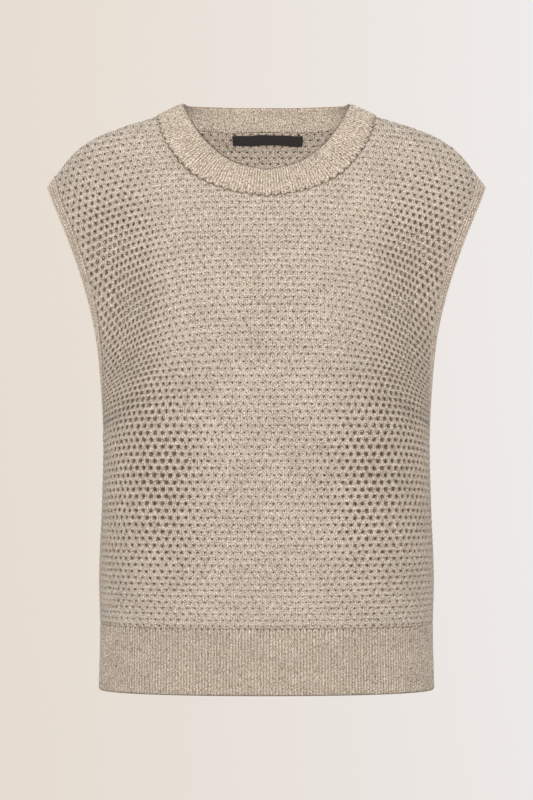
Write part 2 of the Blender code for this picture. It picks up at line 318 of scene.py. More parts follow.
def panel_surface(side, stitches):
    """The panel's own courses over the form, cut back to its outline, the rest drawn in to that line."""
    height = course_heights(SAMPLES_PER_STITCH)[:, None]
    even = np.linspace(-1, 1, stitches * SAMPLES_PER_STITCH + 1) * -side
    along = crowded(even, height)
    rises = np.linspace(0, 1, FORM_STEPS)
    samples, shares, half = row_shares(side, rises)
    edge_share = 1 - arm_seam_inset(edge_height(rises)) / half
    edge_place = np.array([np.interp(edge, share, samples) for edge, share in zip(edge_share, shares)])
    even_shares = np.linspace(-1, 1, 4 * FORM_STEPS)
    places = np.array([np.interp(even_shares, share, samples) for share in shares])

    def place_at(rise):
        row, column = rise * (len(rises) - 1), (along + 1) / 2 * (len(even_shares) - 1)
        i = np.minimum(row.astype(int), len(rises) - 2)
        j = np.minimum(column.astype(int), len(even_shares) - 2)
        up, on = row - i, column - j
        low = places[i, j] * (1 - on) + places[i, j + 1] * on
        high = places[i + 1, j] * (1 - on) + places[i + 1, j + 1] * on
        return low * (1 - up) + high * up

    drop = smooth(height, DROOP["height"], DROOP["drop"])
    power = smooth(height, DROOP["height"], DROOP["power"])
    rise = np.repeat(height / COURSES["height"][-1], len(even), axis=1)
    for _ in range(10):
        across = place_at(np.clip(rise, 0, 1))
        z = RIB_SEAM_Z + height - drop * np.abs(across) ** power
        top = shoulder_z(TIP_X * across) - RIB_SEAM_Z
        rise = (z - RIB_SEAM_Z) / top
    top_inset = (1 - rise) * top
    rise = np.minimum(rise, 1)
    side_inset = (np.interp(rise, rises, edge_share) - np.abs(along)) * np.interp(rise, rises, half)
    limit = np.interp(rise, rises, edge_place)
    across = np.clip(place_at(rise), -limit, limit)
    points = form(side, across, rise)

    neck_gap, within, on_seam = neck_inset(side, points[..., 0], points[..., 2])
    seam_across, seam_rise = locate(*on_seam)
    across, rise = np.where(within, seam_across, across), np.where(within, seam_rise, rise)
    points = form(side, across, rise)

    inset = np.minimum.reduce([top_inset, side_inset, neck_gap])
    climb = points[..., 2] - RIB_SEAM_Z
    places_across, *openness = OPEN_ACROSS.values()
    low, arm = (np.interp(np.abs(across), places_across, shares) for shares in openness)
    share = low + (arm - low) * np.interp(climb, ARM_HEIGHTS, (0, 1))
    share = share * np.interp(climb, OPEN_UP["height"], OPEN_UP["share"])
    share = share * np.clip(inset / EDGE_CLOSED, 0.12, 1) * (1 if side == FRONT else OPEN_BACK)
    return points, form_outward(side, across, rise), share, inset, height[:, 0]


def rounded(inset, radius):
    """Thickness of a rounded edge, as a share of the full thickness, this far in from it."""
    near = np.clip((inset - OUTLINE) / radius, 0, 1)
    return np.sqrt(1 - (1 - near) ** 2)


def hem_surface(side, ribs, rows, lap, notch):
    """Half of the hem rib, from its lower edge to just over the panel's first course, notched by ribs."""
    z = np.linspace(HEM_Z, RIB_SEAM_Z + lap, rows * SAMPLES_PER_STITCH + 1)
    along = np.linspace(-1, 1, ribs * SAMPLES_PER_STITCH * 2 + 1) * -side
    rise = rise_at(z)
    samples, shares, half = row_shares(side, np.minimum(rise, 0))
    across = np.array([np.interp(along, share, samples) for share in shares])
    points = form(side, across, np.minimum(rise, 0)[:, None])
    drawn_back = (lap + notch) * np.abs(np.cos(np.pi / 2 * ribs * (along + 1))) ** LINK_SHARPNESS
    up = (z - HEM_Z)[:, None] * (1 - drawn_back / (z[-1] - HEM_Z))
    points[..., 2] = HEM_Z + up
    inset = np.minimum.reduce([up, up[-1] - up, (1 - np.abs(along)) * half[:, None]])
    return points, form_outward(side, across, np.minimum(rise, -1e-4)[:, None]), inset


def neck_ring(steps):
    """Seam and free edge of the neckband, round from the left shoulder over the front."""
    seams, edges = [], []
    for side, far in ((FRONT, 0), (BACK, 180)):
        angle = np.concatenate([np.linspace(90, far, steps + 1), np.linspace(far, 90, steps + 1)[1:]])
        hand = np.concatenate([-np.ones(steps + 1), np.ones(steps)]) * -side
        across, rise = locate(hand * neck("seam_x", angle), neck("seam_z", angle))
        seam = form(side, across, rise)
        lean = -side * neck("lean", angle)
        edge = np.stack([hand * neck("edge_x", angle), seam[:, 1] + lean, neck("edge_z", angle)], axis=1)
        seam[[0, -1], 1] = edge[[0, -1], 1] = 0.0
        seams.append(seam[:-1])
        edges.append(edge[:-1])
    return [np.concatenate([*ring, ring[0][:1]]) for ring in (seams, edges)]


def arm_ring(hand, steps):
    """Seam and free edge of an armhole band, from the underarm up the front and down the back."""
    turn = 1 - np.cos(np.linspace(0, np.pi / 2, steps // 3 + 1))
    corner = rise_at(UNDERARM_Z + ARM_CORNER)
    foot = rise_at(UNDERARM_Z)
    climb = 1 - (1 - np.linspace(0, 1, steps + 1)) ** 1.5
    rise = np.concatenate([foot + (corner - foot) * turn, corner + (1 - corner) * climb[1:]])
    height = edge_height(rise)
    corner_z = UNDERARM_Z + ARM_CORNER
    tighten = np.where(height < corner_z, 1 - ARM_BAND_WIDTH / ARM_CORNER, 1.0)
    edge_rise = rise_at(corner_z + (height - corner_z) * tighten)
    halves = []
    for side in (FRONT, BACK):
        samples, shares, half = row_shares(side, rise)
        seam_share = 1 - arm_seam_inset(height) / half
        across = np.array([np.interp(s, share, samples) for s, share in zip(seam_share, shares)])
        seam, edge = form(side, hand * across, rise), form(side, float(hand), edge_rise)
        seam[[0, -1], 1] = edge[[0, -1], 1] = 0.0
        halves.append((seam, edge))
    (front_seam, front_edge), (back_seam, back_edge) = halves
    return np.concatenate([front_seam, back_seam[-2::-1]]), np.concatenate([front_edge, back_edge[-2::-1]])


def ring_run(seam, edge):
    """How far along the middle of the ring each of its places lies."""
    steps = np.linalg.norm(np.diff((seam + edge) / 2, axis=0), axis=1)
    return np.concatenate([[0], np.cumsum(steps)])


def even_ring(seam, edge, count):
    """The same ring at evenly spaced places along it."""
    run = ring_run(seam, edge)
    at = np.linspace(0, run[-1], count)
    return [np.stack([np.interp(at, run, ring[:, k]) for k in range(3)], axis=1) for ring in (seam, edge)]


def band_surface(seam, edge, steps, lap, lift, crown, links=0, notch=0.0):
    """Rows from just over the panel's edge to the free edge, with normals and the distance to either.

    Where the band is linked on, this many times round, its front draws back from the panel by a notch."""
    width = np.linalg.norm(edge - seam, axis=1)[:, None]
    round_ring = np.linspace(0, np.pi * links, len(seam))[:, None] + np.pi / 2
    deep = np.where(seam[:, 1:2] < 0, lap + notch, lap / 2)
    start = (deep * np.abs(np.cos(round_ring)) ** LINK_SHARPNESS * bool(links) - lap) / width
    share = start + (1 - start) * np.linspace(0, 1, steps + 1)[:, None, None]
    rows = seam + (edge - seam) * share
    normal = ring_outward(rows)
    near_seam = np.clip(1 - share * 3, 0, 1)
    rows = rows + normal * (crown * 4 * np.clip(share, 0, 1) * (1 - share) + lift * near_seam)
    inset = np.minimum(share - start, 1 - share) * width
    return rows, ring_outward(rows), inset[..., 0]


def ring_outward(rows):
    """Unit normals of rows that close round a ring, whose first and last points are the same."""
    along = np.gradient(rows, axis=1)
    along[:, 0] = along[:, -1] = rows[:, 1] - rows[:, -2]
    normal = np.cross(along, np.gradient(rows, axis=0))
    return normal / np.linalg.norm(normal, axis=-1, keepdims=True)


# ---- Nodes ----


def add(tree, kind, *values, **named):
    """Adds a node and gives its first output. The kind of a maths node is followed by its operation.

    Values are constants or the sockets that feed them. They go to the inputs in turn, where None leaves one
    as it is, or by name, which starts with a capital. Any other name is a setting of the node."""
    kind, _, operation = kind.partition(" ")
    made = tree.nodes.new(kind if "Node" in kind else "ShaderNode" + kind)
    settings = {name: value for name, value in named.items() if name.islower()}
    if operation:
        settings["operation"] = operation
    for name, value in settings.items():
        setattr(made, name, value)
    sockets = [socket for socket in made.inputs if socket.enabled]
    names = [socket.name.replace(" ", "_") for socket in sockets]
    fed = dict(enumerate(values))
    fed.update({names.index(name): value for name, value in named.items() if name not in settings})
    for number, value in fed.items():
        if isinstance(value, bpy.types.NodeSocket):
            tree.links.new(value, sockets[number])
        elif value is not None:
            sockets[number].default_value = value
    return next((socket for socket in made.outputs if socket.enabled), None)


KNIT_INPUTS = (
    ("Geometry", "NodeSocketGeometry"),
    ("Stitches", "NodeSocketInt"),
    ("First course", "NodeSocketInt"),
    ("Courses", "NodeSocketInt"),
    ("Courses in all", "NodeSocketInt"),
    ("Stagger", "NodeSocketFloat"),
    ("Join height", "NodeSocketFloat"),
    ("Unevenness", "NodeSocketFloat"),
    ("Stitch", "NodeSocketObject"),
    ("Yarn", "NodeSocketMaterial"),
)
NAMED = "GeometryNodeInputNamedAttribute"
STORE = "GeometryNodeStoreNamedAttribute"
WELD = "GeometryNodeMergeByDistance"
VECTORS = {"data_type": "FLOAT_VECTOR"}
# On the flat a stitch is 1 by 1 and its heights are in millimetres. Corners this close are one.
MM = 1000.0
FLAT_WELD = 0.004
FORM_WELD = 0.00002
# The wall is closed along edges that lie this far, in courses, from the first or last one's border.
RIM_REACH = 0.2
UV_MARGIN = 0.004
# How much painted light is added to the yarn's colour on the inner face, standing in for the light its own
# cloth bounces there.
INSIDE_PAINTED_LIGHT = 0.35
# A slit between the two faces of the cloth has at most this many edges.
SLIT_SIDES = 24
# A hole that is drawn shut is filled by yarn up to this height.
SHUT_HEIGHT = 0.3
# Stitches stray in patches this many to a stitch, and less within three stitches of a side.
STRAY_SCALE = 0.45
SIDE_HOLD = 0.3


def knit_tree():
    """Lays a stitch over a flat lattice and wraps it round the surface that the modifier sits on."""
    tree = bpy.data.node_groups.new("Knit", "GeometryNodeTree")
    for name, kind in KNIT_INPUTS:
        tree.interface.new_socket(name, in_out="INPUT", socket_type=kind)
    tree.interface.new_socket("Geometry", in_out="OUTPUT", socket_type="NodeSocketGeometry")
    node = partial(add, tree)
    given = node("NodeGroupInput").node.outputs[:len(KNIT_INPUTS)]
    surface, stitches, first, courses, in_all, stagger, join_height, unevenness, stitch, yarn = given

    def held(value, at):
        """This value of the surface, at a place on its flat map."""
        flat_map = node(NAMED, "flat", **VECTORS)
        return node("GeometryNodeSampleUVSurface", surface, value, flat_map, at, **VECTORS)

    # One point for each stitch. A staggered course has one more, half of it beyond either edge.
    position = node("GeometryNodeInputPosition")
    index = node("GeometryNodeInputIndex")
    per_course = node("Math ADD", stitches, 1.0)
    column = node("Math MODULO", index, per_course)
    row = node("Math FLOOR", node("Math DIVIDE", node("Math ADD", index, 0.5), per_course))
    course = node("Math ADD", row, first)
    shift = node("Math MULTIPLY", node("Math MODULO", course, 2.0), stagger)
    x = node("Math ADD", column, node("Math SUBTRACT", 0.5, shift))
    place = node("CombineXYZ", x, node("Math ADD", course, 0.5))
    points = node("GeometryNodePoints", node("Math MULTIPLY", per_course, courses), place)
    points = node(STORE, points, None, "centre", position, **VECTORS)
    stitch = node("GeometryNodeObjectInfo", stitch).node.outputs["Geometry"]
    copies = node("GeometryNodeInstanceOnPoints", points, Instance=stitch)
    flat = node("GeometryNodeRealizeInstances", copies)

    # Trim what lies beyond the sides, join the stitches, and close the wall along the first and last course.
    x, y, z = node("SeparateXYZ", position).node.outputs
    beyond = node("Math MAXIMUM", node("Math LESS_THAN", x, 0.0), node("Math GREATER_THAN", x, stitches))
    flat = node("GeometryNodeDeleteGeometry", flat, beyond, domain="FACE")
    flat = node(WELD, flat, Distance=FLAT_WELD)
    bare = node("Math LESS_THAN", node("GeometryNodeInputMeshEdgeNeighbors"), 1.5)
    outer = node("Math GREATER_THAN", z, 0.0)
    low = node("Math LESS_THAN", y, node("Math ADD", first, RIM_REACH))
    high = node("Math SUBTRACT", node("Math ADD", first, courses), RIM_REACH)
    rim = node("Math MAXIMUM", low, node("Math GREATER_THAN", y, high))
    rim = node("Math MULTIPLY", node("Math MULTIPLY", bare, outer), rim)
    down = node("CombineXYZ", Z=node("Math MULTIPLY", join_height, -1.0))
    flat = node("GeometryNodeExtrudeMesh", flat, rim, down, mode="EDGES")
    flat = node(WELD, flat, Distance=FLAT_WELD)

    # Close the holes as far as the surface says, and note where each point lies on the flat.
    scale = node("CombineXYZ", node("Math DIVIDE", 1.0, stitches), node("Math DIVIDE", 1.0, in_all))
    settings = node(NAMED, "settings", **VECTORS)
    centre = node(NAMED, "centre", **VECTORS)
    openness = node("SeparateXYZ", held(settings, node("VectorMath MULTIPLY", centre, scale)))
    drawn_in = node("Math MULTIPLY", node("Math SUBTRACT", 1.0, openness), node(NAMED, "pull"))
    keep = node("Math SUBTRACT", 1.0, drawn_in)
    from_centre = node("VectorMath SUBTRACT", position, centre)
    closed = node("VectorMath MULTIPLY_ADD", from_centre, node("CombineXYZ", keep, keep, 1.0), centre)
    raised = node("CombineXYZ", Z=node("Math MULTIPLY", drawn_in, SHUT_HEIGHT))
    flat = node(STORE, flat, None, "stitch", node("VectorMath ADD", closed, raised), **VECTORS)

    # Wrap the lattice round the surface, and drop what lies beyond its outline.
    on_flat = node(NAMED, "stitch", **VECTORS)
    from_left, _, relief = node("SeparateXYZ", on_flat).node.outputs
    on_plane = node("VectorMath MULTIPLY", on_flat, (1.0, 1.0, 0.0))
    stray = node("TexNoise", on_plane, Scale=STRAY_SCALE, Detail=1.0).node.outputs["Color"]
    stray = node("VectorMath SUBTRACT", stray, (0.5, 0.5, 0.5))
    from_side = node("Math MINIMUM", from_left, node("Math SUBTRACT", stitches, from_left))
    loose = node("Math MINIMUM", node("Math MULTIPLY", from_side, SIDE_HOLD), 1.0)
    slack = node("CombineXYZ", node("Math MULTIPLY", unevenness, loose), unevenness)
    at = node("VectorMath MULTIPLY", node("VectorMath MULTIPLY_ADD", stray, slack, on_flat), scale)
    at = node("VectorMath MINIMUM", node("VectorMath MAXIMUM", at, (0.0, 0.0, 0.0)), (1.0, 1.0, 1.0))
    _, swell, inset = node("SeparateXYZ", held(settings, at)).node.outputs
    outside = node("Math LESS_THAN", inset, OUTLINE)
    outside = node("GeometryNodeFieldOnDomain", outside, data_type="BOOLEAN", domain="POINT")
    flat = node("GeometryNodeDeleteGeometry", flat, outside, domain="FACE")
    relief = node("Math MULTIPLY", node("Math DIVIDE", relief, MM), swell)
    lifted = node("VectorMath SCALE", held(node(NAMED, "outward", **VECTORS), at), relief)
    wrapped = node("VectorMath ADD", held(position, at), lifted)
    worn = node("GeometryNodeSetPosition", flat, Position=wrapped)
    worn = node(WELD, worn, Distance=FORM_WELD)

    # A flat map for both faces of the cloth, side by side.
    across, up, _ = node("SeparateXYZ", node("VectorMath MULTIPLY", on_flat, scale)).node.outputs
    across = node("Math MULTIPLY_ADD", across, 0.5 - 2 * UV_MARGIN, UV_MARGIN)
    across = node("Math MULTIPLY_ADD", node(NAMED, "inside"), 0.5, across)
    up = node("Math SUBTRACT", up, node("Math DIVIDE", first, in_all))
    up = node("Math DIVIDE", up, node("Math DIVIDE", courses, in_all))
    up = node("Math MULTIPLY_ADD", up, 1 - 4 * UV_MARGIN, 2 * UV_MARGIN)
    flat_map = node("CombineXYZ", across, up)
    worn = node(STORE, worn, None, "OFBake", flat_map, data_type="FLOAT2", domain="CORNER")
    worn = node("GeometryNodeRealizeInstances", node("GeometryNodeSetShadeSmooth", worn))
    node("NodeGroupOutput", node("GeometryNodeSetMaterial", worn, Material=yarn))
    return tree


# ---- Meshes ----


def plain_mesh(name, points, faces):
    mesh = bpy.data.meshes.new(name)
    mesh.from_pydata(np.reshape(points, (-1, 3)).tolist(), [], faces)
    return mesh


def stand(name, data):
    """A new object in the scene."""
    made = bpy.data.objects.new(name, data)
    bpy.context.scene.collection.objects.link(made)
    return made


def surface_object(name, points, outward, settings):
    """A grid of places as a mesh, with its flat map, its normals and its settings."""
    rows, columns = points.shape[:2]
    corner = np.arange((rows - 1) * columns).reshape(rows - 1, columns)[:, :-1].ravel()
    faces = np.stack([corner, corner + 1, corner + columns + 1, corner + columns], axis=1)
    mesh = plain_mesh(name, points, faces.tolist())
    for layer, values in (("outward", outward), ("settings", settings)):
        mesh.attributes.new(layer, "FLOAT_VECTOR", "POINT").data.foreach_set("vector", values.ravel())
    up, across = np.divmod(np.arange(rows * columns), columns)
    spots = np.stack([across / (columns - 1), up / (rows - 1)], axis=1)[faces.ravel()]
    mesh.attributes.new("flat", "FLOAT2", "CORNER").data.foreach_set("vector", spots.ravel())
    return stand(name, mesh)


def stitch_object(name, rings, pulls, faces, inner):
    """A stitch to be repeated: rings of points, how far each is drawn in, and which faces lie inside."""
    mesh = plain_mesh(name, rings, faces)
    mesh.attributes.new("pull", "FLOAT", "POINT").data.foreach_set("value", pulls)
    mesh.attributes.new("inside", "FLOAT", "FACE").data.foreach_set("value", inner)
    return stand(name, mesh)


def hole_stitch(size):
    """One hole of the openwork with the half cords above and below it, outer face and inner face."""
    angle = np.arange(8) * np.pi / 4
    wave = size.cord_wave
    border = np.stack([
        np.array([0.5, 0.5, 0.0, -0.5, -0.5, -0.5, 0.0, 0.5]),
        np.array([0.0, 0.5 - wave, 0.5 + wave, 0.5 - wave, 0.0, wave - 0.5, -wave - 0.5, wave - 0.5]),
    ], axis=1)
    rim = np.stack([np.cos(angle) * size.hole_share_across, np.sin(angle) * size.hole_share_up], axis=1)
    rim[1::2] *= 1.06
    middle = rim + (border - rim) * 0.48
    bridge = np.array([1, 0, 0, 0, 1, 0, 0, 0])
    # From the top of the cords and of the bridges between holes, over the hole's rim, to their inner faces.
    rings = [
        np.hstack([ring, np.where(bridge, between, cord)[:, None] * MM])
        for ring, cord, between in (
            (border, size.cord_height, size.bridge_height),
            (middle, size.cord_height * 0.86, size.bridge_height * 0.9),
            (rim, 0.0, 0.0),
            (middle, -size.inner_height * 0.8, -size.inner_height * 0.6),
            (border, -size.inner_height, -size.inner_height * 0.7),
        )
    ]
    pulls = np.repeat([0.0, 0.35, 1.0, 0.35, 0.0], 8)
    sides = [(ring + k, ring + (k + 1) % 8) for ring in range(0, 32, 8) for k in range(8)]
    faces = [(a, b, b + 8, a + 8) for a, b in sides]
    return stitch_object("hole_stitch", np.vstack(rings), pulls, faces, np.repeat([0.0, 0.0, 1.0, 1.0], 8))


def rib_stitch(rib):
    """One stitch of a 1 by 1 rib: two raised legs, and the valley to the next rib, outer and inner face."""
    across = np.array([-0.5, -0.36, -0.18, 0.0, 0.18, 0.36, 0.5])
    outer = np.array([0.0, 0.9, 1.0, 0.1, 1.0, 0.9, 0.0]) * rib.ridge + rib.core / 2
    inner = np.array([0.8, 0.3, 0.2, 0.7, 0.2, 0.3, 0.8]) * -rib.ridge * 0.7 - rib.core / 2
    slant = np.array([0.0, -0.02, -0.03, 0.0, 0.03, 0.02, 0.0])
    points = []
    for heights in (outer, inner):
        for up, spread, share in ((-0.5, -1.0, 0.82), (0.0, 1.0, 1.0), (0.5, -1.0, 0.82)):
            for x, shift, height in zip(across, slant, heights):
                points.append((x + shift * spread, up, height * share * MM))
    corners = [row * 7 + k for row in (0, 1) for k in range(6)]
    faces = [(a, a + 1, a + 8, a + 7) for a in corners]
    faces += [(a + 28, a + 29, a + 22, a + 21) for a in corners]
    return stitch_object("rib_stitch", np.array(points), np.zeros(42), faces, np.repeat([0.0, 1.0], 12))


def knit(name, yarn, stitch, surface, **values):
    """Repeats a stitch over a surface and keeps what comes out as a plain mesh."""
    modifier = surface.modifiers.new("Knit", "NODES")
    modifier.node_group = tree = bpy.data.node_groups.get("Knit") or knit_tree()
    sockets = {s.name: s.identifier for s in tree.interface.items_tree if s.in_out == "INPUT"}
    for socket, value in {**values, "Stitch": stitch, "Yarn": yarn}.items():
        modifier[sockets[socket.replace("_", " ")]] = value
    graph = bpy.context.evaluated_depsgraph_get()
    worn = surface.evaluated_get(graph)
    mesh = bpy.data.meshes.new_from_object(worn, preserve_all_data_layers=True, depsgraph=graph)
    surface.modifiers.clear()
    for layer in ("centre", "pull", "inside"):
        if layer in mesh.attributes:
            mesh.attributes.remove(mesh.attributes[layer])
    if not mesh.polygons:
        raise RuntimeError(f"{name} came out with no stitches")
    close_slits(mesh)
    mesh.name = name
    return stand(name, mesh)


def close_slits(mesh):
    """Fills the short slits left between the two faces of the cloth where its outline cuts a stitch."""
    cloth = bmesh.new()
    cloth.from_mesh(mesh)
    flat_map = cloth.loops.layers.uv["OFBake"]
    open_edges = [edge for edge in cloth.edges if edge.is_boundary]
    made = set(bmesh.ops.holes_fill(cloth, edges=open_edges, sides=SLIT_SIDES)["faces"])
    for face in made:
        face.smooth = True
        for corner in face.loops:
            beside = next(loop for loop in corner.vert.link_loops if loop.face not in made)
            corner[flat_map].uv = beside[flat_map].uv
    cloth.to_mesh(mesh)
    cloth.free()


def take_place(piece, node):
    """The piece stands for its node: it is parented to the body, and the node's own part is hidden."""
    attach(piece, BODY)
    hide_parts(node)


def knit_band(name, node, yarn, stitches, courses, places):
    """Knits a ribbed piece over its places, with their normals and distances from an edge."""
    rib = bpy.context.scene.knit_top_rib
    points, outward, inset = places
    swell = rounded(inset, rib.edge_radius)
    settings = np.stack([np.ones_like(swell), swell, np.ones_like(swell)], axis=-1)
    surface, stitch = surface_object(name + "_form", points, outward, settings), rib_stitch(rib)
    piece = knit(name, yarn, stitch, surface, Stitches=stitches, Courses=courses, Courses_in_all=courses)
    take_place(piece, node)
    bpy.data.objects.remove(surface)
    bpy.data.objects.remove(stitch)


# ---- Materials ----


def linear(code):
    """An sRGB hex colour as linear RGBA."""
    parts = [int(code[i:i + 2], 16) / 255 for i in (0, 2, 4)]
    return (*[p / 12.92 if p <= 0.04045 else ((p + 0.055) / 1.055) ** 2.4 for p in parts], 1.0)


def new_material(name):
    """A new material with its node tree and its shader."""
    material = bpy.data.materials.new(name)
    material.use_nodes = True
    return material, material.node_tree, material.node_tree.nodes["Principled BSDF"]


def marl_yarn(name, stitch_mm, course_mm, valley, crest=1.3, loops=1, joined=0.0, painted_light_gain=1.0):
    """Marl yarn, a cream, a beige and a brown ply twisted together and knitted: matt, hairy, speckled.

    Painted shade darkens the knit's colour from its valleys up to its crests, both in millimetres, and a
    line of painted shade lies between loops. In a rib each leg runs on into the next, so that line is
    fainter. Each piece's colour is scaled by a gain of painted light and shade: a rib packed close is a tone
    darker, as its yarn hides half of its stitches in shade."""
    yarn = bpy.context.scene.knit_top_yarn
    material, tree, shader = new_material(name)
    node = partial(add, tree)
    place = node("Attribute", attribute_name="stitch").node.outputs["Vector"]
    across, up, relief = node("SeparateXYZ", place).node.outputs
    # Loops of yarn stand in columns, each a V of two slanting legs with a line of painted shade between
    # neighbours.
    wale = node("Math MULTIPLY", across, float(loops))
    from_gap = node("Math PINGPONG", wale, 0.5)
    leg = node("Math PINGPONG", node("Math MULTIPLY", from_gap, 2.0), 0.5)
    climb = node("Math MULTIPLY_ADD", up, float(loops), node("Math MULTIPLY", from_gap, yarn.slant))
    stroke = node("Math MULTIPLY", node("Math PINGPONG", climb, 0.5), 2.0)
    stroke = node("Math MULTIPLY_ADD", stroke, 1 - joined, joined)
    loop = node("Math POWER", node("Math MULTIPLY", stroke, node("Math MULTIPLY", leg, 2.0)), 0.45)
    # The plies run along each leg. Their speckles are 1.3 mm long and wide, twice the real ones, which are
    # too fine to show.
    along = node(
        "CombineXYZ",
        node("Math MULTIPLY", across, stitch_mm * 0.8),
        node("Math MULTIPLY", climb, course_mm / loops * 0.6),
        node("Math MULTIPLY", node("Math FLOOR", node("Math MULTIPLY", wale, 2.0)), 3.7),
    )
    plies = node("TexNoise", along, Scale=1.7, Detail=2.0, Roughness=0.6)
    ramp = node("ValToRGB", plies)
    colours = ramp.node.color_ramp.elements
    colours[0].position, colours[0].color = 0.40, linear(yarn.dark)
    colours[1].position, colours[1].color = 0.60, linear(yarn.light)
    colours.new(0.5).color = linear(yarn.middle)
    # Painted shade: the hollows between the yarns are darkened and tinted, for more shade than their few
    # faces can give, and the yarn's colour drifts a little at random.
    depth = node("Math MAXIMUM", relief, node("Math MULTIPLY", relief, -2.0))
    tint = linear(yarn.hollow_shade)[:3]
    lit = node("MapRange", depth, valley, crest)
    hollow_shade = node("VectorMath MULTIPLY_ADD", lit, [1 - part for part in tint], tint)
    # Painted shade: the line between two loops is darkened down to the crease setting's brightness.
    crease_shade = node("MapRange", loop, To_Min=yarn.crease_shade + (1 - yarn.crease_shade) * joined * 0.6)
    drift = node("TexNoise", place, Scale=0.15, Detail=2.0)
    drift = node("MapRange", drift, 0.3, 0.7, 0.95, 1.05)
    # Painted light: the inner face is lightened to stand in for the light its own cloth bounces onto it,
    # over and over, so that it looks as light as the outside; the outer face takes the piece's gain of
    # painted light and shade.
    face_painted_light = node("MapRange", relief, -0.3, 0.0, painted_light_gain + INSIDE_PAINTED_LIGHT, painted_light_gain)
    shade = node("Math MULTIPLY", node("Math MULTIPLY", crease_shade, drift), face_painted_light)
    colour = node("VectorMath SCALE", node("VectorMath MULTIPLY", ramp, hollow_shade), shade)
    colour = node("VectorMath MINIMUM", colour, (0.95, 0.95, 0.95))
    tree.links.new(colour, shader.inputs["Base Color"])
    shader.inputs["Roughness"].default_value = 0.92
    shader.inputs["Specular IOR Level"].default_value = 0.2
    shader.inputs["Sheen Weight"].default_value = 0.15
    shader.inputs["Sheen Roughness"].default_value = 0.5
    height = node("Math MULTIPLY_ADD", plies, 0.5, loop)
    bump = node("Bump", Strength=0.8, Distance=0.0005, Height=height)
    tree.links.new(bump, shader.inputs["Normal"])
    return material


def woven_tape(name, label):
    """Black polyester label tape, damask woven: a fine twill that shines a little along its threads."""
    material, tree, shader = new_material(name)
    node = partial(add, tree)
    place = node("TexCoord").node.outputs["Object"]
    # Threads are 0.4 mm apart, twice the real spacing, which would be too fine to show.
    twill = node("TexWave", place, Scale=2500 / 6.3, Distortion=0.6, bands_direction="DIAGONAL")
    fleck = node("TexNoise", place, Scale=900.0, Detail=2.0)
    mix = node("Math MULTIPLY", twill.node.outputs["Fac"], fleck)
    colour = node("ValToRGB", mix)
    for stop, code in zip(colour.node.color_ramp.elements, (label.dark, label.light)):
        stop.color = linear(code)
    tree.links.new(colour, shader.inputs["Base Color"])
    shader.inputs["Roughness"].default_value = 0.55
    shader.inputs["Sheen Weight"].default_value = 0.2
    bump = node("Bump", Strength=0.5, Distance=0.0002, Height=mix)
    tree.links.new(bump, shader.inputs["Normal"])
    return material


# ---- What a user would change ----

Length = partial(FloatProperty, unit="LENGTH")
Colour = partial(StringProperty, description="sRGB hex colour")


class KnitSettings(bpy.types.PropertyGroup):
    stitches: IntProperty(name="Stitches", description="Holes across half of the girth", default=60, min=8)
    split_course: IntProperty(name="Split", description="Where the upper piece begins", default=42, min=1)
    hole_share_across: FloatProperty(name="Hole width", description="Half width in stitches", default=0.17)
    hole_share_up: FloatProperty(name="Hole height", description="Half height in courses", default=0.25)
    cord_height: Length(name="Cord height", description="Outer relief", default=0.0014)
    bridge_height: Length(name="Bridge height", description="Relief between holes", default=0.0007)
    inner_height: Length(name="Inner relief", description="Relief inside", default=0.0009)
    cord_wave: FloatProperty(name="Cord wave", description="Zigzag of a cord, in courses", default=0.12)
    unevenness: FloatProperty(name="Unevenness", description="Stray of stitches, in stitches", default=0.22)


class RibSettings(bpy.types.PropertyGroup):
    pitch: Length(name="Rib spacing", description="Width of one rib", default=0.0062)
    stitch: Length(name="Stitch height", description="Height of one stitch", default=0.0036)
    ridge: Length(name="Ridge", description="How high a leg stands", default=0.0009)
    core: Length(name="Core", description="Thickness of the valleys", default=0.0009)
    lap: Length(name="Lap", description="How far a band laps a panel", default=0.0020)
    link: Length(name="Link spacing", description="Between linking stitches", default=0.0078)
    notch: Length(name="Notch", description="Gap that linking leaves", default=0.0008)
    edge_radius: Length(name="Edge radius", description="Roundness of edges", default=0.0014)


class YarnSettings(bpy.types.PropertyGroup):
    dark: Colour(name="Dark ply", default="7A6957")
    middle: Colour(name="Middle ply", default="CABBA8")
    light: Colour(name="Light ply", default="F0E6D9")
    slant: FloatProperty(name="Slant", description="How far a leg climbs, in loops", default=-1.4)
    # Painted shade: the tint that darkens the yarn's hollows.
    hollow_shade: Colour(name="Hollows", description="sRGB hex tint of the hollows", default="BDA78A")
    # Painted shade: how bright the line between two loops stays.
    crease_shade: FloatProperty(name="Creases", description="Brightness there", default=0.5, subtype="FACTOR")


class LabelSettings(bpy.types.PropertyGroup):
    dark: Colour(name="Ground", default="1B1917")
    light: Colour(name="Thread", default="3A3632")
    thickness: Length(name="Thickness", description="Of the tape", default=0.0007)
    height: Length(name="Height", description="Of the tape", default=0.0103)
    drop: Length(name="Drop", description="Below the neck seam", default=0.0014)


class StageSettings(bpy.types.PropertyGroup):
    distance: Length(name="Distance", description="Camera to the middle of the top", default=4.2)
    height: Length(name="Height", description="Of the camera", default=-0.3028)
    lens: FloatProperty(name="Lens", description="Focal length in millimetres", default=183.5)
    floor: Length(name="Floor", description="Height of the floor", default=-1.50)
    warm: Colour(name="Warm side", description="sRGB hex colour of the backdrop at left", default="E5DBCF")
    cool: Colour(name="Cool side", description="sRGB hex colour of the backdrop at right", default="EDEAE9")


# ---- Operators ----


